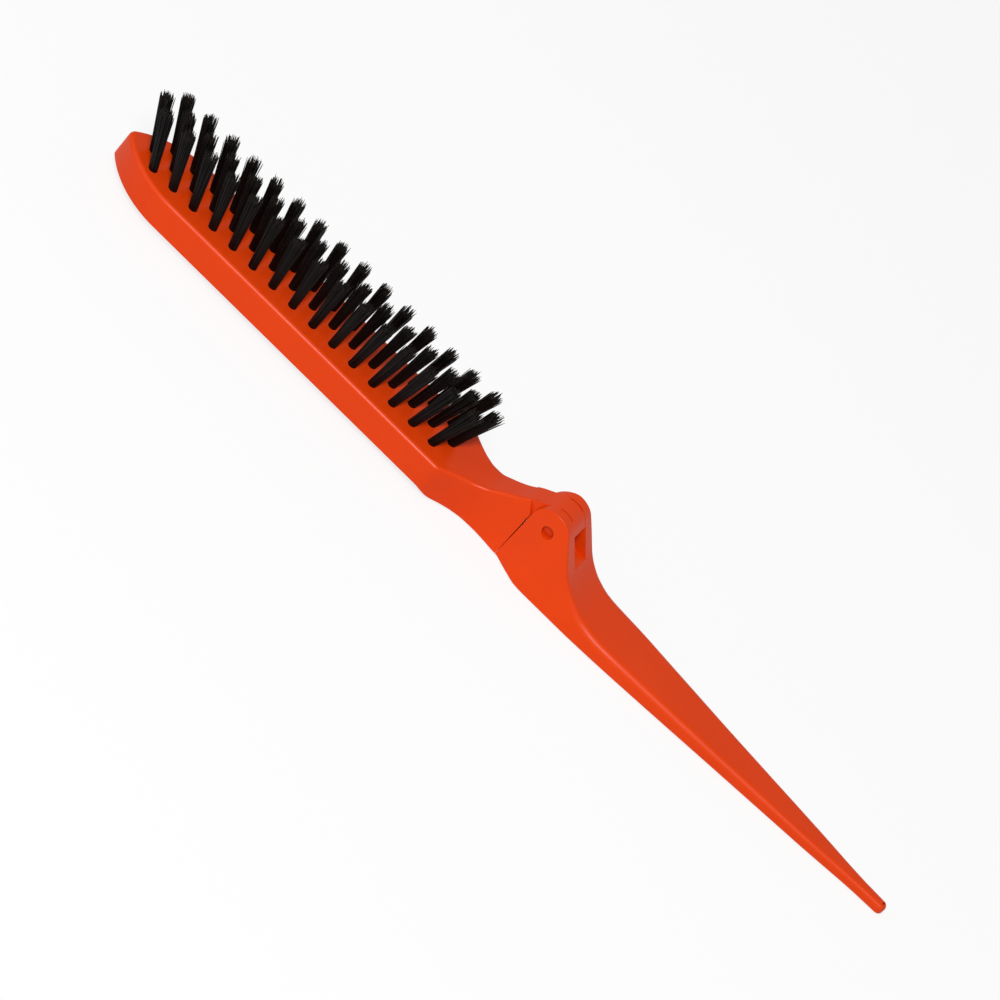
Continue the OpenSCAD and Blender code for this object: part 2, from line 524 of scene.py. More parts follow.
@dataclass(frozen=True)
class MouldedAbs:
    """Injection-moulded ABS, coloured right through, from a lightly spark-eroded mould.

    The eye sees one even, saturated colour, a pale line of light along each rounded ridge,
    a faint slow mottle where the plastic cooled, and a fine grain that breaks up the sheen.
    """

    name: str = "moulded_abs_orange"
    colour: str = "#DD3F07"
    deep: str = "#D93D06"
    ior: float = 1.53
    roughness: float = 0.33
    gloss: float = 0.1  # the skin reflects less than bare polished ABS
    ridge_highlight_level: float = 0.22  # painted highlight: the reflection is turned up along the long rounded ridges
    grain: float = 0.22  # mm from grain to grain, coarser than the real 0.1 so that it shows
    mottle: float = 14.0  # mm across a patch of the mottle
    wave: float = 5.0  # mm across the slow waves of the skin

    def build(self) -> bpy.types.Material:
        """Builds the material and returns it."""
        material, node = start_material(self.name)
        own = node("TexCoord", {})
        mottle, grain, wave = (
            node("TexNoise", {"Vector": own["Object"], "Scale": 1 / (size * MM),
                              "Detail": detail, "Roughness": rough})["Fac"]
            for size, detail, rough in (
                (self.mottle, 3.0, 0.5), (self.grain, 2.0, 0.6), (self.wave, 1.0, 0.5)
            )
        )
        share = node("MapRange", {"Value": mottle, "From Min": 0.35, "From Max": 0.65})["Result"]
        colour = node(
            "Mix", {"Factor": share, "A": linear(self.deep), "B": linear(self.colour)},
            data_type="RGBA",
        )
        sheen = node("MapRange", {
            "Value": grain, "From Min": 0.3, "From Max": 0.7,
            "To Min": self.roughness - 0.04, "To Max": self.roughness + 0.06,
        })
        slow = node("Bump", {"Height": wave, "Strength": 0.25, "Distance": 0.08 * MM})
        skin = node("Bump", {"Height": grain, "Strength": 0.35, "Distance": 0.01 * MM,
                             "Normal": slow["Normal"]})
        # painted highlight: this mask peaks where the normal in the piece's own frame leans halfway
        # between up and sideways, as on the rounded ridges, and turns the reflection up there
        facing = node("SeparateXYZ", {"Vector": own["Normal"]})
        aside = node("Math", {0: facing["Y"]}, operation="ABSOLUTE")["Value"]
        ridge_highlight_mask = node("Math", {0: aside, 1: facing["Z"]}, operation="MULTIPLY")["Value"]
        gloss = node("MapRange", {"Value": ridge_highlight_mask, "From Min": 0.3, "From Max": 0.47,
                                  "To Min": self.gloss, "To Max": self.ridge_highlight_level})
        shader = node("BsdfPrincipled", {
            "Base Color": colour["Result"], "Roughness": sheen["Result"], "IOR": self.ior,
            "Specular IOR Level": gloss["Result"], "Normal": skin["Normal"],
        })
        node("OutputMaterial", {"Surface": shader["BSDF"]})
        return material


@dataclass(frozen=True)
class StiffBristle:
    """Stiff boar bristle mixed with nylon, dyed black and cut square.

    The eye sees near-black hairs, each a little different, a thin streak of light along
    the smooth ones, and paler tips, a painted highlight where the cut ends catch the light.
    """

    name: str = "black_mixed_bristle"
    black: str = "#040303"
    brown: str = "#120D0A"
    # the pale grey painted onto the tips as their highlight
    cut_end: str = "#2C2723"
    gloss: float = 0.16  # the dye dulls the hairs
    ior: float = 1.55
    streak: float = 0.45  # mm between the faint scales along a hair

    def build(self) -> bpy.types.Material:
        """Builds the material and returns it."""
        material, node = start_material(self.name)
        place = node("TexCoord", {})["Object"]
        hair = node("Attribute", {}, attribute_name="hair")["Fac"]
        # painted highlight: the tips are lightened towards a pale grey where the cut ends catch the light
        end = node("Attribute", {}, attribute_name="cut_end")["Fac"]
        scales = node("TexNoise", {
            "Vector": place, "Scale": 1 / (self.streak * MM), "Detail": 2.0,
        })
        body = node("Mix", {"Factor": hair, "A": linear(self.black), "B": linear(self.brown)},
                    data_type="RGBA")
        colour = node("Mix", {"Factor": end, "A": body["Result"], "B": linear(self.cut_end)},
                      data_type="RGBA")
        sheen = node("MapRange", {"Value": hair, "To Min": 0.3, "To Max": 0.6})
        bump = node("Bump", {"Height": scales["Fac"], "Strength": 0.3, "Distance": 0.02 * MM})
        shader = node("BsdfPrincipled", {
            "Base Color": colour["Result"], "Roughness": sheen["Result"], "IOR": self.ior,
            "Specular IOR Level": self.gloss, "Normal": bump["Normal"],
        })
        node("OutputMaterial", {"Surface": shader["BSDF"]})
        return material


@dataclass(frozen=True)
class RolledWire:
    """Flat nickel-silver wire, rolled and cropped: a yellowish grey with fine rolling lines."""

    name: str = "rolled_nickel_silver"
    colour: str = "#C4BBA0"
    roughness: float = 0.34
    line: float = 0.05  # mm from one rolling line to the next

    def build(self) -> bpy.types.Material:
        """Builds the material and returns it."""
        material, node = start_material(self.name)
        place = node("TexCoord", {})["Object"]
        lines = node(
            "TexWave", {"Vector": place, "Scale": 1 / (self.line * MM), "Distortion": 1.5,
                        "Detail": 2.0}, bands_direction="Z",
        )["Fac"]
        sheen = node("MapRange", {"Value": lines, "To Min": self.roughness - 0.06,
                                  "To Max": self.roughness + 0.06})
        bump = node("Bump", {"Height": lines, "Strength": 0.2, "Distance": 0.004 * MM})
        shader = node("BsdfPrincipled", {
            "Base Color": linear(self.colour), "Metallic": 1.0, "Roughness": sheen["Result"],
            "Normal": bump["Normal"],
        })
        node("OutputMaterial", {"Surface": shader["BSDF"]})
        return material


# ---- hinge ----


@dataclass(frozen=True)
class Hinge:
    """The sizes that the two mouldings share, in millimetres about the pin."""

    knuckle_r: float = 5.1
    crown_r: float = 5.05  # the tongue's crown, nearly flush with the ears
    barrel_r: float = 4.7  # the rest of the tongue's round end
    slot_r: float = 5.3  # the round bottom of the slot, which the crown's corner clears
    seam_gap: float = 0.04  # between the neck and the front of the handle, at the bottom
    seam_lean: float = 1.2  # degrees that the end of the neck leans back
    seat_gap: float = 0.08  # between the sloping back, folded, and the end of the neck
    tongue_w: float = 5.34
    slot_w: float = 5.4
    bore_r: float = 1.5
    slope_dir: float = 37.0  # degrees from +X to the normal of the sloping back
    neck_rise: float = 1.6
    ramp_back: float = 2.0  # from the seam back to where the tongue's ramp starts
    ramp_sunk: float = 0.9  # how far below the top of the neck the ramp's root lies
    web_back: float = 3.2  # from the seam back to where the web starts, inside the neck
    web_floor: float = -3.6
    slot_floor: float = -4.4
    window_top: float = 1.95  # the height at which the crown ends, above the window
    slit_w: float = 0.42  # the slits beside the crown
    slit_depth: float = 0.8
    slit_span: Span = (64.0, 107.0)  # degrees from +X, first and last

    @property
    def front_x(self) -> float:
        """The front of the handle."""
        return -self.knuckle_r

    @property
    def seam_x(self) -> float:
        """The square end of the neck."""
        return self.front_x - self.seam_gap


# ---- head ----


@dataclass
class HeadMoulding:
    """The bristle plate, its neck and the hinge tongue, moulded in one piece."""

    hinge: Hinge
    finish: bpy.types.Material
    neck_len: float = 21.4
    nose_len: float = 18.0
    tip_r: float = 2.0
    face_drop: float = 5.3
    plate_t: float = 7.6
    ridge_r: float = 1.1  # rounding of the plate's upper edges
    neck_ridge: float = 0.75
    back_ridge: float = 0.4  # and of the edges of its back
    slimming: Span = (-30.0, 15.0)  # where the rounding slims down, and over how far
    hole_r: float = 1.08
    hole_depth: float = 5.0
    name: str = "head_moulding"

    def walls(self, half_w: float, under_z: float) -> Walls:
        """Draws the leaning walls of the shoulder and the neck.

        Args:
            half_w: Half the width of the plate.
            under_z: The height of the underside of the neck.

        Returns:
            The walls.
        """
        high = Curve((
            (-26.6, half_w), (-25.0, half_w - 1.4), (-23.0, half_w - 2.65), (-21.0, 5.85),
            (-17.0, 4.3), (-15.0, 3.6), (-12.0, 2.98), (-9.0, 2.85), (-5.2, 3.05),
        ))
        low = Curve((
            (-27.4, half_w), (-25.4, half_w - 0.5), (-23.0, 7.6), (-21.0, 6.4), (-18.0, 5.05),
            (-15.0, 4.35), (-12.0, 4.25), (-9.0, 4.45), (-5.2, 4.85),
        ))
        return Walls(high, low, self.hinge.neck_rise, under_z)

    def top(self) -> Curve:
        """Draws the top of the neck, which climbs from the face of the plate to the hinge."""
        seam, face = self.hinge.seam_x, -self.face_drop
        shoulder = seam - self.neck_len
        climb = self.hinge.neck_rise - face
        return Curve((
            (shoulder + 3, face),
            (shoulder + 7, face + climb * 0.015),
            (shoulder + 10.5, face + climb * 0.13),
            (seam - 8.2, face + climb * 0.36),
            (seam - 5, face + climb * 0.65),
            (seam - 2, self.hinge.neck_rise),
            (seam + 1, self.hinge.neck_rise + 1.7),
        ))

    def under(self, under_z: float) -> Curve:
        """Draws the underside, which drops from the back of the plate to the neck's."""
        back = -self.face_drop - self.plate_t
        shoulder = self.hinge.seam_x - self.neck_len
        return Curve((
            (shoulder - 1.5, back),
            (shoulder + 3.5, back + (under_z - back) * 0.75),
            (shoulder + 13, under_z),
        ))

    def nose(self, tip_x: float, half_w: float) -> list[Point2]:
        """Draws half the pointed nose: an arc round the tip and one along the side.

        Args:
            tip_x: The tip's place.
            half_w: Half the width of the plate.

        Returns:
            The half outline, with y > 0.
        """
        reach, narrow = self.nose_len - self.tip_r, half_w - self.tip_r
        nose_r = (reach**2 + half_w**2 - self.tip_r**2) / (2 * narrow)
        turn = math.degrees(math.atan2(reach, nose_r - half_w))
        tip = arc((tip_x + self.tip_r, 0), self.tip_r, 180, 90 + turn, 8)
        return tip + arc((tip_x + self.nose_len, half_w - nose_r), nose_r, 90 + turn, 90, 22)

    def rounding(self, point: Vector) -> float:
        """Returns the rounding of the ridges at a point.

        It is slighter along the neck than round the plate, and slightest on the back.
        """
        if point.z < -self.face_drop - self.plate_t / 2:
            return self.back_ridge
        slim = risen(point.x, self.slimming)
        return self.ridge_r + (self.neck_ridge - self.ridge_r) * slim

    def tongue(self) -> Piece:
        """Builds the tongue: ramp, crown with its two slits, barrel and web.

        Returns:
            The tongue, rooted a little way inside the neck.
        """
        hinge = self.hinge
        start = (hinge.seam_x - hinge.ramp_back, hinge.neck_rise)
        lift = math.degrees(math.acos(hinge.crown_r / math.hypot(*start)))
        turn = math.degrees(math.atan2(start[1], start[0])) - lift
        slope = math.radians(hinge.slope_dir)
        corner_x = (hinge.crown_r - hinge.window_top * math.sin(slope)) / math.cos(slope)
        under = math.degrees(math.asin(hinge.window_top / hinge.barrel_r))
        foot = -180 + math.degrees(math.asin(-hinge.web_floor / hinge.barrel_r))
        back = hinge.seam_x - hinge.web_back
        outline = [(back, hinge.web_floor), (back, hinge.neck_rise - hinge.ramp_sunk), start,
                   *arc((0, 0), hinge.crown_r, turn, hinge.slope_dir, 32),
                   (corner_x, hinge.window_top), *arc((0, 0), hinge.barrel_r, under, foot, 48)]
        tongue = through("tongue", outline, hinge.tongue_w / 2)
        for side in (-1, 1):
            combine(tongue, self.slit(side), Cut.TAKE_AWAY)
        return tongue

    def slit(self, side: int) -> Piece:
        """Builds the cutter for the slit on one side of the crown.

        Args:
            side: -1 for the near side, 1 for the far side.

        Returns:
            The cutter.
        """
        hinge = self.hinge
        low, high = hinge.slit_span
        past_top, past_side = 0.5, 0.3  # how far the cutter reaches out of the crown
        ring = arc((0, 0), hinge.crown_r + past_top, low, high, 16)
        ring += arc((0, 0), hinge.crown_r - hinge.slit_depth, high, low, 16)
        inner = hinge.tongue_w / 2 - hinge.slit_w
        return traced(
            "slit", [Vector((x, side * inner, z)) for x, z in ring],
            Vector((0, side * (hinge.slit_w + past_side), 0)),
        )

    def build(self, tufts: Iterable["Tuft"]) -> Piece:
        """Builds and dresses the moulding.

        Args:
            tufts: The tufts, whose bores are drilled in the plate.

        Returns:
            The finished piece.
        """
        low, high = in_mm("head")
        hinge, under_z, half_w = self.hinge, low.z, high.y
        walls, top, under = self.walls(half_w, under_z), self.top(), self.under(under_z)
        start, stop = walls.low.stations[0][0], hinge.seam_x + OVERCUT
        places = shared_places(start, stop, (walls.high, walls.low, top, under), 4)
        half = self.nose(low.x, half_w) + [(x, walls.low.at(x)) for x in places]
        face, back, ahead_x = -self.face_drop, -self.face_drop - self.plate_t, low.x - OVERCUT
        side = [(ahead_x, back), (ahead_x, face)] + [(x, top.at(x)) for x in places]
        side += [(x, under.at(x)) for x in reversed(places)]
        piece = carved(self.name, half, side, low, high)
        walls.lean(piece, start, stop + OVERCUT)
        round_ridges(piece, self.rounding, self.ridge_r)
        lean = math.radians(hinge.seam_lean)
        ahead = Vector((math.cos(lean), 0, math.sin(lean)))
        slice_off(piece, Vector((hinge.seam_x, 0, under_z)), ahead)
        slope = math.radians(hinge.slope_dir + 180)
        seat = Vector((math.cos(slope), 0, math.sin(slope)))
        slice_off(piece, seat * (hinge.knuckle_r + hinge.seat_gap), -seat)
        combine(piece, self.tongue(), Cut.JOIN)
        reach = Vector((0, hinge.tongue_w, 0))
        combine(piece, rod("pin_bore", hinge.bore_r, -reach, reach), Cut.TAKE_AWAY)
        drills = [tuft.drill(self.hole_r, self.hole_depth, -self.face_drop) for tuft in tufts]
        only(*drills)
        bpy.ops.object.join()
        combine(piece, drills[0], Cut.TAKE_AWAY)
        finish_surface(piece, 32)
        dress(piece, self.finish)
        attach(piece, "head")
        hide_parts("head")
        return piece


# ---- handle ----


@dataclass
class HandleMoulding:
    """The knuckle with its two ears, the grip and the rat tail, moulded in one piece."""

    hinge: Hinge
    finish: bpy.types.Material
    grip_t: float = 4.2
    tail_w: float = 2.9
    tail_t: float = 2.5
    grip_ridge: float = 1.8  # rounding of the grip's upper edges
    ear_ridge: float = 0.3  # rounding of the ears' edges
    tail_ridge: float = 0.95
    under_ridge: float = 0.4
    ears: Span = (-2.8, 4.0)  # where the rounding of the ears starts, and over how far
    grip: Span = (8.0, 12.0)  # the same for the grip's
    tail: Span = (45.0, 60.0)  # and for the tail's
    foot_x: float = 8.0  # the foot of the sloping back
    name: str = "handle_moulding"

    def walls(self, tail_x: float, half_w: float, under_z: float) -> Walls:
        """Draws the leaning walls, which spread from the ears to the underside.

        Args:
            tail_x: The tail end's place.
            half_w: Half the width of the grip at its widest.
            under_z: The height of the underside.

        Returns:
            The walls.
        """
        end = (tail_x - self.tail_w / 2, self.tail_w / 2)
        high = Curve((
            (-5.1, 4.0), (0.0, 5.25), (5.0, 5.3), (8.5, 5.0), (12.0, 4.2), (15.0, 3.7),
            (19.0, 4.3), (24.0, 6.6), (30.0, 7.2), (40.0, 6.5), (60.0, 4.9), (85.0, 3.05), end,
        ))
        low = Curve((
            (-5.1, 4.85), (-2.5, 5.9), (0.0, 7.0), (2.6, half_w - 0.2), (5.1, half_w),
            (16.3, half_w - 0.01), (24.5, half_w - 0.3), (40.0, 6.75), (60.0, 5.15),
            (85.0, 3.2), end,
        ))
        return Walls(high, low, self.hinge.knuckle_r, under_z)

    def top(self, tail_x: float, under_z: float) -> Curve:
        """Draws the top from the foot of the sloping back to the tail.

        Args:
            tail_x: The tail end's place.
            under_z: The height of the underside.

        Returns:
            The curve, which leaves the sloping back in line with it.
        """
        hinge = self.hinge
        turn = math.radians(hinge.slope_dir)
        grip_z, tail_z = under_z + self.grip_t, under_z + self.tail_t
        foot_z = (hinge.knuckle_r - self.foot_x * math.cos(turn)) / math.sin(turn)
        return Curve((
            (self.foot_x, foot_z), (10.0, -4.6), (12.0, -6.4), (15.0, -8.35), (18.5, -9.75), (24.0, -10.6),
            (30.0, grip_z), (63.0, grip_z - (grip_z - tail_z) * 0.56), (tail_x + 1, tail_z),
        ), -1 / math.tan(turn))

    def slot(self) -> Piece:
        """Builds the cutter for the slot that the tongue turns in."""
        hinge = self.hinge
        turn = math.degrees(math.acos(-hinge.slot_floor / hinge.slot_r))
        front, back, top = -7.0, 14.0, 7.0  # all of them outside the knuckle
        outline = [(front, top), (back, top), (back, hinge.slot_floor)]
        outline += arc((0, 0), hinge.slot_r, -90 + turn, -90 - turn, 16)
        outline += [(front, hinge.slot_floor)]
        return through("slot", outline, hinge.slot_w / 2)

    def rounding(self, point: Vector) -> float:
        """Returns the rounding of the ridges at a point.

        The underside is rounded slightly all along. The ears' edges start crisp at the
        front, are slight over the knuckle and its sloping back, and grow on to the grip.
        """
        near_front, near_under = self.hinge.front_x + 0.05, in_mm("handle")[0].z + 0.2
        if point.x < near_front:
            return 0.0
        if point.z < near_under:
            return self.under_ridge
        fade = risen(point.x, self.tail)
        grip = self.grip_ridge + (self.tail_ridge - self.grip_ridge) * fade
        ear = risen(point.x, self.ears) * self.ear_ridge
        return ear + (grip - self.ear_ridge) * risen(point.x, self.grip)

    def build(self) -> Piece:
        """Builds and dresses the moulding and returns the finished piece."""
        low, high = in_mm("handle")
        hinge, tail_r = self.hinge, self.tail_w / 2
        walls = self.walls(high.x, high.y, low.z)
        top = self.top(high.x, low.z)
        foot = top.stations[0]
        front = arc((0, 0), hinge.knuckle_r, 180, 120, 20)
        rear = arc((0, 0), hinge.knuckle_r, 120, hinge.slope_dir, 24)
        edge = rear[-1]
        slope = [tuple(Vector(edge).lerp(Vector(foot), k / 4)) for k in range(1, 4)]
        places = shared_places(foot[0], high.x - tail_r, (walls.high, walls.low, top), 4)
        over = front + rear + slope + [(x, top.at(x)) for x in places]
        half_x = [hinge.front_x, -4.4, -3.5] + [x for x, _ in rear + slope] + places
        half = [(x, walls.low.at(x)) for x in half_x]
        half += arc((high.x - tail_r, 0), tail_r, 78, 0, 8)
        side = [(hinge.front_x, low.z)] + over
        side += [(high.x + OVERCUT, top.at(high.x)), (high.x + OVERCUT, low.z)]
        piece = carved(self.name, half, side, low, high)
        walls.lean(piece, hinge.front_x - OVERCUT, high.x - tail_r)
        round_ridges(piece, self.rounding, self.grip_ridge, 6)
        combine(piece, self.slot(), Cut.TAKE_AWAY)
        reach = Vector((0, high.y + OVERCUT, 0))
        combine(piece, rod("pin_bore", hinge.bore_r, -reach, reach), Cut.TAKE_AWAY)
        finish_surface(piece, 32)
        dress(piece, self.finish)
        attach(piece, "handle")
        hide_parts("handle")
        return piece


@dataclass
class HingePin:
    """The plastic pin, with softly rounded ends."""

    finish: bpy.types.Material
    chamfer: float = 0.25
    blunt: float = 0.8  # the share of the chamfer that the rounding takes
    name: str = "hinge_pin_moulding"

    def build(self) -> Piece:
        """Builds and dresses the pin and returns the finished piece."""
        low, high = in_mm("hinge_pin")
        piece = rod(self.name, high.x, Vector((0, low.y, 0)), Vector((0, high.y, 0)))
        with editing(piece):
            bpy.ops.mesh.select_all(action="DESELECT")
            bpy.ops.mesh.select_mode(type="FACE")
            mesh = bmesh.from_edit_mesh(piece.data)
            for face in mesh.faces:
                face.select = abs(face.normal.y) > 0.99  # the two flat ends
            bmesh.update_edit_mesh(piece.data)
            bpy.ops.mesh.inset(thickness=self.chamfer, depth=0)
            bpy.ops.mesh.select_all(action="DESELECT")
            mesh = bmesh.from_edit_mesh(piece.data)
            for edge in mesh.edges:
                (xa, ya, za), (xb, yb, zb) = (vertex.co for vertex in edge.verts)
                rim = min(math.hypot(xa, za), math.hypot(xb, zb)) > high.x - 0.01
                edge.select = rim and abs(ya - yb) < 0.01
            bmesh.update_edit_mesh(piece.data)
            bpy.ops.mesh.select_mode(type="EDGE")
            bpy.ops.mesh.bevel(offset=self.chamfer * self.blunt, segments=3)
        finish_surface(piece, 40)
        dress(piece, self.finish)
        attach(piece, "handle")
        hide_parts("hinge_pin")
        return piece


# ---- bristles ----


@dataclass(frozen=True)
class Tuft:
    """One tuft's place: the middle of its root and of its end, and how high it reaches."""

    node: str
    root: Vector
    end: Vector
    top_z: float

    @classmethod
    def measured(cls, node: str) -> "Tuft":
        """Reads a tuft's place from its CAD node's two end rings.

        Args:
            node: The node's name.

        Returns:
            The tuft.
        """
        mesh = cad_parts[node].data
        places = np.empty(len(mesh.vertices) * 3, np.float32)
        mesh.vertices.foreach_get("co", places)
        places = (places.reshape(-1, 3) - np.array(PIN)) / MM
        heights = places[:, 2]
        top_band, root_band = 1.3, 0.9  # mm, deep enough for a whole tilted ring each
        top = places[heights > heights.max() - top_band]
        bottom = places[heights < heights.min() + root_band]
        middles = [(ring.min(0) + ring.max(0)) / 2 for ring in (bottom, top)]
        root, end = (Vector(middle.tolist()) for middle in middles)
        return cls(node, root, end, float(heights.max()))

    def at_height(self, z: float) -> Vector:
        """Returns the point of the tuft's axis at a height."""
        along = self.end - self.root
        return self.root + along * ((z - self.root.z) / along.z)

    def drill(self, radius: float, depth: float, face_z: float) -> Piece:
        """Adds the drill that makes the tuft's bore.

        Args:
            radius: The bore's radius.
            depth: Its depth.
            face_z: The height of the face that it is drilled in.

        Returns:
            The drill.
        """
        mouth, along = self.at_height(face_z), (self.end - self.root).normalized()
        return rod("drill", radius, mouth - along * depth, mouth + along * 2, 32)


@dataclass
class BristleTufts:
    """The bundles of bristles, one piece for each tuft."""

    finish: bpy.types.Material
    count: int = 104  # bristles in a tuft
    sides: int = 5
    hair_r: float = 0.11
    root_spread: float = 0.92  # radius that the middles of the bristles fill in the bore
    end_spread: float = 1.62  # and at the frayed end
    face_z: float = -5.3
    sunk: float = 1.6  # how far the bristles are modelled down the bore
    ragged: float = 0.8  # how far most of the ends fall short of the longest
    ragged_spread: float = 0.36
    long_share: float = 0.25  # of the bristles, which fall short by no more than long_short
    long_short: float = 0.4
    turn_spread: float = 0.16  # radians by which a bristle leaves its place in the spiral
    flare_spread: float = 0.12
    stray: float = 0.1
    swell: Span = (0.85, 1.2)  # thinnest and thickest, as shares of hair_r
    tone: Span = (1.4, 2.6)  # the shape of the spread of tones, most of them dark
    tip_light_from: float = 0.93  # the share of the length where the painted highlight on the cut end starts
    # how far the painted highlight lightens the very tips
    pale: float = 0.7
    headroom: float = 0.03  # between the longest end and the top of the tuft's box
    seed: int = 46
    rings: tuple[float, ...] = (0.0, 0.36, 0.7, 0.93, 1.0)
    taper: tuple[float, ...] = (1.0, 1.0, 0.95, 0.8, 0.45)
    pattern: tuple[np.ndarray, list[list[int]]] = field(init=False)

    def __post_init__(self) -> None:
        """Models the one bristle that all the others are copied from."""
        piece = new_primitive(
            bpy.ops.mesh.primitive_circle_add, "bristle", vertices=self.sides, radius=1.0,
            fill_type="NGON",
        )
        with editing(piece):
            steps = zip(self.rings, self.rings[1:], self.taper, self.taper[1:])
            for here, there, wide, narrow in steps:
                step = {"value": (0, 0, there - here)}
                bpy.ops.mesh.extrude_region_move(TRANSFORM_OT_translate=step)
                size = (narrow / wide, narrow / wide, 1)
                bpy.ops.transform.resize(value=size, center_override=(0, 0, there))
            bpy.ops.mesh.select_all(action="SELECT")
            bpy.ops.mesh.normals_make_consistent(inside=False)
        corners = np.array([v.co for v in piece.data.vertices])
        faces = [list(p.vertices) for p in piece.data.polygons]
        bpy.data.objects.remove(piece)
        self.pattern = (corners, faces)

    def build(self, tuft: Tuft, number: int) -> Piece:
        """Builds and dresses one tuft.

        Args:
            tuft: Its place.
            number: Its number, which seeds its raggedness.

        Returns:
            The finished piece.
        """
        chance = np.random.default_rng(self.seed * 1000 + number)
        mouth = np.array(tuft.at_height(self.face_z))
        along = np.array((tuft.end - tuft.root).normalized())
        across = np.cross((0, 1, 0), along)
        across /= np.linalg.norm(across)
        beside = np.cross(along, across)
        room = tuft.top_z - self.headroom - mouth[2]
        length = room / along[2]
        corners, faces = self.pattern
        index = np.arange(self.count)
        turn = index * GOLDEN_TURN + chance.uniform(0, 6.28)
        share = np.sqrt((index + 0.5) / self.count)
        turn = turn + chance.normal(0, self.turn_spread, self.count)
        flare = share * self.end_spread + chance.normal(0, self.flare_spread, self.count)
        short = np.abs(chance.normal(self.ragged, self.ragged_spread, self.count))
        longer = chance.random(self.count) < self.long_share
        short[longer] = chance.uniform(0.0, self.long_short, longer.sum())
        reach = length - short * (0.8 + 0.3 * share)  # the outer ones fall short by more
        stray = chance.normal(0, self.stray, (self.count, 2))
        tone = chance.beta(*self.tone, self.count)
        thick = self.hair_r * chance.uniform(*self.swell, self.count)
        t, around_x, around_y = corners[:, 2], corners[:, 0], corners[:, 1]
        rise = np.outer(reach + self.sunk, t) - self.sunk
        lift = np.clip(rise / length, 0, None)
        inner = (share * self.root_spread)[:, None]
        out = inner + (flare[:, None] - inner) * lift**1.15
        bend = stray[:, :, None] * lift[:, None] ** 2
        side_a = out * np.cos(turn)[:, None] + bend[:, 0] + np.outer(thick, around_x)
        side_b = out * np.sin(turn)[:, None] + bend[:, 1] + np.outer(thick, around_y)
        rise -= np.clip(side_a * across[2] + rise * along[2] - room, 0, None) / along[2]
        spots = mouth + rise[..., None] * along + side_a[..., None] * across
        spots = (spots + side_b[..., None] * beside) * MM + np.array(PIN)
        # painted highlight on the cut ends, rising over the last part of each bristle
        ends = np.clip((t - self.tip_light_from) / (1 - self.tip_light_from), 0, 1) * self.pale
        polygons = [[i + k * len(t) for i in face] for k in index.tolist() for face in faces]
        name = tuft.node.replace("tuft", "bristles")
        mesh = bpy.data.meshes.new(name)
        mesh.from_pydata(spots.reshape(-1, 3).tolist(), [], polygons)
        shades = {"hair": np.repeat(tone, len(t)), "cut_end": np.tile(ends, self.count)}
        for label, values in shades.items():
            layer = mesh.attributes.new(label, "FLOAT", "POINT")
            layer.data.foreach_set("value", values.astype(np.float32))
        piece = bpy.data.objects.new(name, mesh)
        bpy.context.scene.collection.objects.link(piece)
        only(piece)
        bpy.ops.object.shade_smooth_by_angle(angle=math.radians(75))
        dress(piece, self.finish)
        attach(piece, "head")
        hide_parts(tuft.node)
        return piece


# ---- the set ----


@dataclass(frozen=True)
class Lamp:
    """A square soft lamp that faces the brush, placed in metres from the pin."""

    name: str
    place: tuple[float, float, float]
    size: float  # the length of its side, in metres
    power: float  # in watts

    def build(self) -> None:
        """Adds the lamp."""
        data = bpy.data.lights.new(self.name, "AREA")
        data.size, data.energy = self.size, self.power
        lamp = bpy.data.objects.new(self.name, data)
        bpy.context.scene.collection.objects.link(lamp)
        place = Vector(self.place)
        lamp.location = PIN + place
        lamp.rotation_euler = (-place).to_track_quat("-Z", "Y").to_euler()


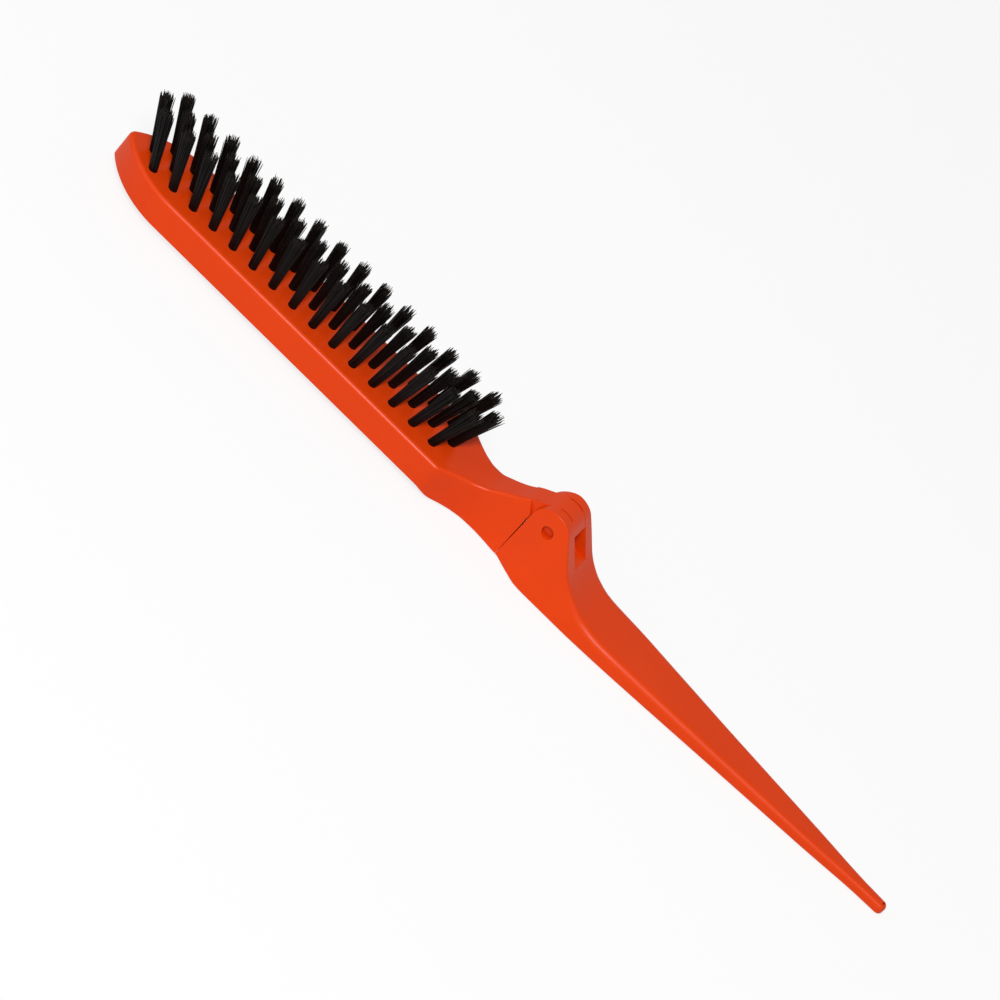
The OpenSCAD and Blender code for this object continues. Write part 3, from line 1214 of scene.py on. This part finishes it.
@dataclass
class PortraitSet:
    """The floor, the lamps and the camera."""

    azimuth: float = -1.44
    elevation: float = 38.9
    roll: float = 43.56
    distance: float = 1.071
    lens: float = 180.0
    aim: Span = (-12.62, 4.59)  # from the pin, right and up in the view, mm
    sky_level: float = 0.34
    paper: str = "#F4F4F4"
    floor_glow: float = 0.82  # the share of plain white in what the eye sees of the floor
    lamps: tuple[Lamp, ...] = (
        Lamp("key_lamp", (-0.06, -0.6, 0.74), 0.2, 6.5),
        Lamp("fill_lamp", (-0.8, -0.3, 0.4), 0.6, 0.8),
    )

    def camera(self) -> None:
        """Adds the camera and makes it the scene's own."""
        a, e, r = (math.radians(v) for v in (self.azimuth, self.elevation, self.roll))
        ahead = Vector((math.sin(a) * math.cos(e), math.cos(a) * math.cos(e), -math.sin(e)))
        level = Vector((math.cos(a), -math.sin(a), 0))
        over = level.cross(ahead)
        right = level * math.cos(r) + over * math.sin(r)
        up = over * math.cos(r) - level * math.sin(r)
        target = PIN + (right * self.aim[0] + up * self.aim[1]) * MM
        data = bpy.data.cameras.new("portrait_camera")
        data.lens, data.sensor_width = self.lens, 36.0
        data.clip_start, data.clip_end = 0.05, 20.0
        camera = bpy.data.objects.new("portrait_camera", data)
        bpy.context.scene.collection.objects.link(camera)
        turn = Matrix((right, up, -ahead)).transposed()
        camera.matrix_world = Matrix.Translation(target - ahead * self.distance) @ turn.to_4x4()
        bpy.context.scene.camera = camera

    def seen_directly(self, node: Callable) -> bpy.types.NodeSocket:
        """Adds nodes that give 1 for rays from the eye, reflected and transmitted ones too."""
        path = node("LightPath", {})
        seen = path["Is Camera Ray"]
        for kind in ("Is Glossy Ray", "Is Transmission Ray"):
            seen = node("Math", {0: seen, 1: path[kind]}, operation="MAXIMUM")["Value"]
        return seen

    def floor(self) -> None:
        """Lays the white floor, which shows white and keeps a soft shadow."""
        material, node = start_material("white_paper_floor")
        eye = self.seen_directly(node)
        paper = node("BsdfDiffuse", {"Color": linear(self.paper)})
        glow = node("Emission", {"Color": (1, 1, 1, 1), "Strength": 1.0})
        part = node("Math", {0: eye, 1: self.floor_glow}, operation="MULTIPLY")
        mix = node("MixShader", {0: part["Value"], 1: paper["BSDF"], 2: glow["Emission"]})
        node("OutputMaterial", {"Surface": mix["Shader"]})
        piece = new_primitive(
            bpy.ops.mesh.primitive_plane_add, "paper_floor", size=6, location=(0, 0, -0.0004)
        )
        bpy.ops.object.transform_apply(location=True, rotation=True, scale=True)
        dress(piece, material)

    def sky(self) -> None:
        """Sets the even light of a white room."""
        world = bpy.data.worlds.new("white_room")
        world.use_nodes = True
        world.node_tree.nodes.clear()
        node = partial(add_node, world.node_tree)
        eye = self.seen_directly(node)
        level = node("MapRange", {"Value": eye, "To Min": self.sky_level, "To Max": 1.0})
        back = node("Background", {"Color": (1, 1, 1, 1), "Strength": level["Result"]})
        node("OutputWorld", {"Surface": back["Background"]})
        bpy.context.scene.world = world

    def build(self) -> None:
        """Builds the whole set."""
        self.camera()
        self.floor()
        self.sky()
        for lamp in self.lamps:
            lamp.build()
        bpy.context.scene.view_settings.view_transform = "Standard"


# ---- the whole brush ----


def open_edges(piece: Piece) -> int:
    """Counts the edges of a piece that don't join exactly two faces."""
    mesh = bmesh.new()
    mesh.from_mesh(piece.data)
    count = sum(len(edge.link_faces) != 2 for edge in mesh.edges)
    mesh.free()
    return count


def main() -> None:
    """Builds the set and the brush and reports each piece."""
    logging.basicConfig(level=logging.INFO, format="%(name)s: %(message)s")
    PortraitSet().build()
    abs_orange = MouldedAbs().build()
    # the same plastic a little darker and duller: painted shade for the pin's end, which sits sunk in the
    # knuckle
    pin_orange = MouldedAbs(name="moulded_pin_orange", colour="#CE3A0C", deep="#C8380B",
                            roughness=0.42).build()
    bristle = StiffBristle().build()
    wire = RolledWire().build()
    rows = {row: sorted(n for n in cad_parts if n.startswith(f"tuft_{row.value}"))
            for row in Row}
    tufts = [Tuft.measured(node) for row in Row for node in rows[row]]
    hinge = Hinge()
    pieces = [
        HeadMoulding(hinge, abs_orange).build(tufts),
        HandleMoulding(hinge, abs_orange).build(),
        HingePin(pin_orange).build(),
    ]
    maker = BristleTufts(bristle)
    pieces += [maker.build(tuft, number) for number, tuft in enumerate(tufts)]
    for row in Row:
        dress(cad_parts[f"anchors_{row.value}"], wire)
    for piece in pieces:
        LOG.info("%s: %d faces, %d open edges", piece.name, len(piece.data.polygons),
                 open_edges(piece))


if __name__ == "__main__":
    main()
